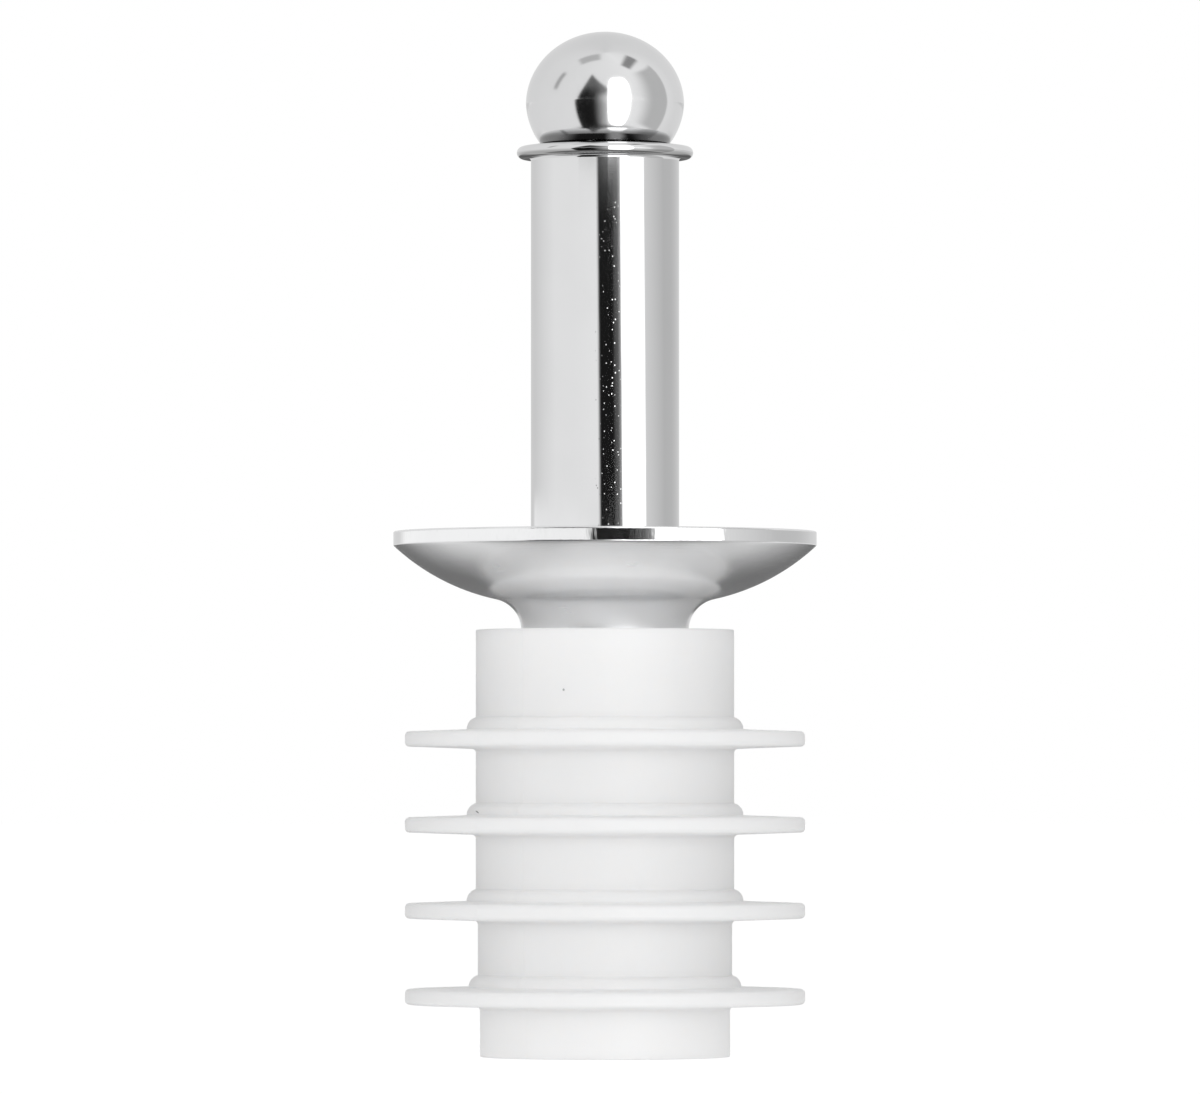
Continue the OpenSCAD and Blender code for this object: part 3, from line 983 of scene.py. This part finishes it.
def make_world():
    """White to the camera, even light for shading, and a light tent for metal to mirror."""
    world = bpy.data.worlds.new("studio")
    bpy.context.scene.world = world
    world.cycles.sampling_method = "NONE"
    tree = NodeTree(world)
    way = tree.node("ShaderNodeTexCoord").output("Generated")
    light_path = tree.node("ShaderNodeLightPath")
    seen = light_path.output("Is Camera Ray")
    glossy = light_path.output("Is Glossy Ray")
    mirrored = glossy.maths("MAXIMUM", glossy, light_path.output("Is Transmission Ray"))
    thrown = mirrored.maths("MINIMUM", mirrored, light_path.output("Diffuse Depth"))
    tone = tree.blend(mirrored, even_tone(tree, way), tent_tone(tree, way))
    tone = tree.blend(thrown, tone, thrown_tone(tree, way))
    tone = tree.blend(seen, tone, grey(1))
    shader = tree.node("ShaderNodeBackground", None, {"Color": tone})
    tree.node("ShaderNodeOutputWorld", None, {"Surface": shader})


def even_tone(tree, way):
    """Light for shading, strongest from the front."""
    x, y = tree.split(way)[:2]
    return EVEN_LIGHT + FRONT_LIGHT * abs(way_turn(x, y)).ease(*FRONT_TURN)


def thrown_tone(tree, way):
    """Light that the metal throws on the plastic, mostly from the front."""
    x, y = tree.split(way)[:2]
    return THROWN_LIGHT + THROWN_FRONT * abs(way_turn(x, y)).ease(*THROWN_TURN)


def round_ramp(tree, turn, stops):
    """Tone by the angle round the object, from (angle, level) stops."""
    places = [((angle + 180) / 360, level) for angle, level in stops]
    return tree.node("ShaderNodeValToRGB", {"stops": places}, {"Fac": turn / 360 + 0.5})


def tent_tone(tree, way):
    """What metal sees in each direction: the tent with its panel, hoop, flag, softbox and belt."""
    x, y, z = tree.split(way)
    turn = way_turn(x, y)
    rise = way_rise(z)
    behind = abs(turn)
    steep = z.maths("ARCTAN2", 0 - z, abs(x)) * DEGREES
    table = steep.ease(*TABLE_STEEP) * behind.ease(*TABLE_TURN)
    tone = tree.blend(table, round_ramp(tree, turn, WALL_STOPS), round_ramp(tree, turn, TABLE_STOPS))
    tone = tree.blend(rise.ease(*DEEP_RISE) * behind.ease(*DEEP_TURN), tone, grey(DEEP_TONE))
    panel = turn.ease(*PANEL_LEFT) * turn.ease(*PANEL_RIGHT) * rise.between(*PANEL_RISE)
    tone = tree.blend(panel, tone, grey(PANEL_TONE))
    tone = hoop_tone(tree, tone, x, y, z)
    tone = flag_tone(tree, tone, turn, rise)
    aside = ((turn - SOFTBOX_TURN) / SOFTBOX_HALF_W) ** SOFTBOX_SQUARENESS
    above = ((rise - SOFTBOX_RISE) / SOFTBOX_HALF_H) ** SOFTBOX_SQUARENESS
    tone = tree.blend((aside + above).ease(*SOFTBOX_EDGE), tone, grey(SOFTBOX))
    return tree.blend(rise.between(*BELT_RISE), tone, belt_tone(tree, turn, rise))


def belt_tone(tree, turn, rise):
    """The belt's tone: stripes that lean, a pale lower edge on the left and a haze along the top."""
    tone = round_ramp(tree, turn + (rise - BELT_MID_RISE) * BELT_LEAN, BELT_STOPS)
    pale = rise.ease(*BELT_PALE_RISE) * turn.between(*BELT_PALE_TURN)
    tone = tree.blend(pale, tone, grey(BELT_PALE))
    return tone.maths("MAXIMUM", tone, rise.ease(*BELT_HAZE_RISE) * BELT_HAZE)


def flag_tone(tree, tone, turn, rise):
    """The black flag, drawn in and fading towards its top, and the graded dim wall beside it."""
    climb = rise.maths("MAXIMUM", rise - FLAG_WAIST, 0)
    left = climb * FLAG_LEFT_DRAW + FLAG_LEFT
    right = FLAG_RIGHT - climb * FLAG_RIGHT_DRAW
    under_slope = (rise + turn * DIM_SLOPE).ease(*DIM_TOP)
    dim = turn.between(left, DIM_RIGHT, DIM_SOFT) * under_slope * rise.ease(*DIM_FOOT)
    levels = GRADE_LEAST + rise.ease(*GRADE_MID_RISE) * GRADE_MID - rise.ease(*GRADE_LOW_RISE) * GRADE_LOW
    grade = turn.ease(*GRADE_TURN) * levels
    grade = grade + rise.ease(*GRADE_HIGH_RISE) * GRADE_HIGH * (1 - grade)
    tone = tree.blend(dim * (1 - grade), tone, grey(DIM_TONE))
    flag = turn.between(left, right, FLAG_SOFT) * rise.between(*FLAG_RISE) * rise.ease(*FLAG_FADE)
    return tree.blend(flag, tone, grey(FLAG))


def hoop_tone(tree, tone, x, y, z):
    """Three short lengths of the tent's hoop, which stands beside the object."""
    round_hoop = z.maths("ARCTAN2", z, x) * DEGREES
    for start, end, front, rear, level in HOOPS:
        mark = round_hoop.between(start, end, HOOP_SOFT) * y.between(front, rear, HOOP_DEPTH_SOFT)
        tone = tree.blend(mark, tone, grey(level))
    return tone


def make_floor():
    """A glowing table that the camera sees as white with a faint shadow on it."""
    mesh = bmesh.new()
    bmesh.ops.create_grid(mesh, x_segments=1, y_segments=1, size=FLOOR_SIZE)
    floor = mesh_object("floor", mesh)
    floor.visible_glossy = False
    material = bpy.data.materials.new("pale_floor")
    tree = NodeTree(material)
    seen = tree.node("ShaderNodeLightPath").output("Is Camera Ray")
    shine = tree.node("ShaderNodeEmission", None, {"Color": grey(1), "Strength": FLOOR_SHOWN})
    veil = tree.node("ShaderNodeBsdfDiffuse", None, {"Color": grey(FLOOR_TONE)})
    shown = tree.node("ShaderNodeAddShader", None, {0: shine, 1: veil})
    glow = tree.node("ShaderNodeEmission", None, {"Color": grey(1), "Strength": FLOOR_GLOW})
    shader = tree.node("ShaderNodeMixShader", None, {0: seen, 1: glow, 2: shown})
    tree.node("ShaderNodeOutputMaterial", None, {"Surface": shader})
    floor.data.materials.append(material)


def make_lamp(name, size, power, place):
    data = bpy.data.lights.new(name, "AREA")
    data.shape = "DISK"
    data.size = size
    data.energy = power
    lamp = bpy.data.objects.new(name, data)
    lamp.location = place
    aim = Vector((0, 0, STOPPER_TOP)) - Vector(place)
    lamp.rotation_euler = aim.to_track_quat("-Z", "Y").to_euler()
    lamp.visible_glossy = False
    bpy.context.scene.collection.objects.link(lamp)


def make_camera():
    """The photograph's view: level with the fins and tilted up to the middle of the picture."""
    data = bpy.data.cameras.new("photo_camera")
    data.sensor_fit = "HORIZONTAL"
    data.sensor_width = SENSOR_W
    data.lens = SENSOR_W * CAMERA_AWAY / (PHOTO_W * PIXEL)
    camera = bpy.data.objects.new("photo_camera", data)
    aside = (PHOTO_W / 2 - AXIS_COLUMN) * PIXEL
    camera.location = (aside, -CAMERA_AWAY, (FOOT_ROW - EYE_ROW) * PIXEL)
    aim = Vector((aside, 0, (FOOT_ROW - PHOTO_H / 2) * PIXEL)) - camera.location
    camera.rotation_euler = aim.to_track_quat("-Z", "Y").to_euler()
    bpy.context.scene.collection.objects.link(camera)
    bpy.context.scene.camera = camera


make_camera()
make_world()
make_floor()
for lamp in LAMPS:
    make_lamp(*lamp)
make_stopper()
make_tube()
make_saucer()
make_ball()
make_stem()
make_washer()
make_guide()
make_clip()
make_breather()
bpy.context.scene.view_settings.view_transform = "Standard"
